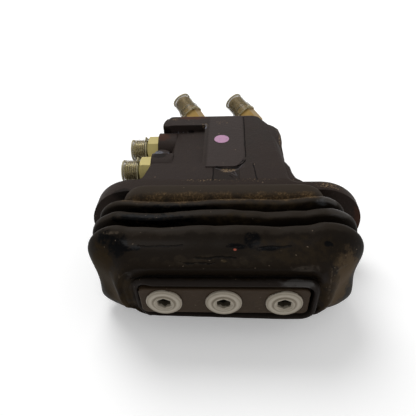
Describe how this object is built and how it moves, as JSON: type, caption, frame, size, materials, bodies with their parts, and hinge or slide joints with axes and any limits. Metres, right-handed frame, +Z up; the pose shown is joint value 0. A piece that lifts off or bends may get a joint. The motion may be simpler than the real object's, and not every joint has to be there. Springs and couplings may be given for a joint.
{
  "type": "foot pedal valve",
  "caption": "Hydraulic pilot foot pedal valve: flanged cast body with capped hose fittings, rubber bellows boot and a rocking pedal bar with tapped holes.",
  "frame": {"origin": "centre of the mounting flange's seat face, on the valve's centreline", "axes": "+X along the pedal bar, +Y from the pedal into the valve body, +Z up as the valve lies on its side"},
  "size_m": [0.167, 0.2154, 0.065],
  "materials": {
    "black_casting": "worn black-brown paint over cast iron",
    "dark_steel": "black oxide",
    "bright_steel": "ground",
    "spring_steel": "drawn wire",
    "bronze": "sintered",
    "yellow_zinc": "yellow passivated zinc plate",
    "clear_plastic": "clear soft plastic, slightly yellowed",
    "white_plastic": "matt moulded",
    "seal_rubber": "smooth nitrile",
    "boot_rubber": "moulded, dusty in the folds"
  },
  "bodies": {
    "housing": {"valve_housing": "black_casting", "cover_plate": "black_casting", "cover_screw_1": "dark_steel", "cover_screw_2": "dark_steel", "cover_screw_3": "dark_steel", "cover_screw_4": "dark_steel", "plunger_guide_left": "bright_steel", "plunger_guide_right": "bright_steel", "guide_seal_left": "seal_rubber", "guide_seal_right": "seal_rubber", "wiper_seal_left": "seal_rubber", "wiper_seal_right": "seal_rubber", "pivot_pin": "bright_steel", "pivot_clip_upper": "dark_steel", "pivot_clip_lower": "dark_steel", "return_spring_left": "spring_steel", "return_spring_right": "spring_steel", "metering_spring_left": "spring_steel", "metering_spring_right": "spring_steel", "tank_adapter": "yellow_zinc", "pressure_adapter": "yellow_zinc", "tank_seal": "seal_rubber", "pressure_seal": "seal_rubber", "tank_cap": "clear_plastic", "pressure_cap": "clear_plastic", "elbow_left": "yellow_zinc", "elbow_right": "yellow_zinc", "elbow_locknut_left": "yellow_zinc", "elbow_locknut_right": "yellow_zinc", "elbow_washer_left": "bright_steel", "elbow_washer_right": "bright_steel", "elbow_seal_left": "seal_rubber", "elbow_seal_right": "seal_rubber", "elbow_cap_left": "clear_plastic", "elbow_cap_right": "clear_plastic", "rubber_boot": "boot_rubber"},
    "rocker": {"pedal_rocker": "black_casting", "hole_plug_left": "white_plastic", "hole_plug_centre": "white_plastic", "hole_plug_right": "white_plastic", "pivot_bush_upper": "bronze", "pivot_bush_lower": "bronze"},
    "plunger_left": {"plunger_left": "bright_steel", "spring_seat_left": "bright_steel"},
    "plunger_right": {"plunger_right": "bright_steel", "spring_seat_right": "bright_steel"},
    "spool_left": {"spool_left": "bright_steel"},
    "spool_right": {"spool_right": "bright_steel"}
  },
  "joints": [
    {"name": "pedal_pivot", "type": "hinge", "parent": "housing", "child": "rocker", "pos_m": [0, -0.036, 0], "axis": [0, 0, 1], "range_deg": [-12, 12], "stiffness_Nm_per_rad": 12, "deforming": ["rubber_boot"]},
    {"name": "plunger_left_slide", "type": "slide", "parent": "housing", "child": "plunger_left", "axis": [0, 1, 0], "range_m": [-0.0051, 0.0051], "deforming": ["return_spring_left", "metering_spring_left"]},
    {"name": "spool_left_slide", "type": "slide", "parent": "housing", "child": "spool_left", "axis": [0, 1, 0], "range_m": [-0.0013, 0.0013]},
    {"name": "plunger_right_slide", "type": "slide", "parent": "housing", "child": "plunger_right", "axis": [0, 1, 0], "range_m": [-0.0051, 0.0051], "deforming": ["return_spring_right", "metering_spring_right"]},
    {"name": "spool_right_slide", "type": "slide", "parent": "housing", "child": "spool_right", "axis": [0, 1, 0], "range_m": [-0.0013, 0.0013]}
  ],
  "couplings": [
    {"joint": "plunger_left_slide", "follows": "pedal_pivot", "m_per_rad": -0.024},
    {"joint": "spool_left_slide", "follows": "pedal_pivot", "m_per_rad": -0.006},
    {"joint": "plunger_right_slide", "follows": "pedal_pivot", "m_per_rad": 0.024},
    {"joint": "spool_right_slide", "follows": "pedal_pivot", "m_per_rad": 0.006}
  ]
}
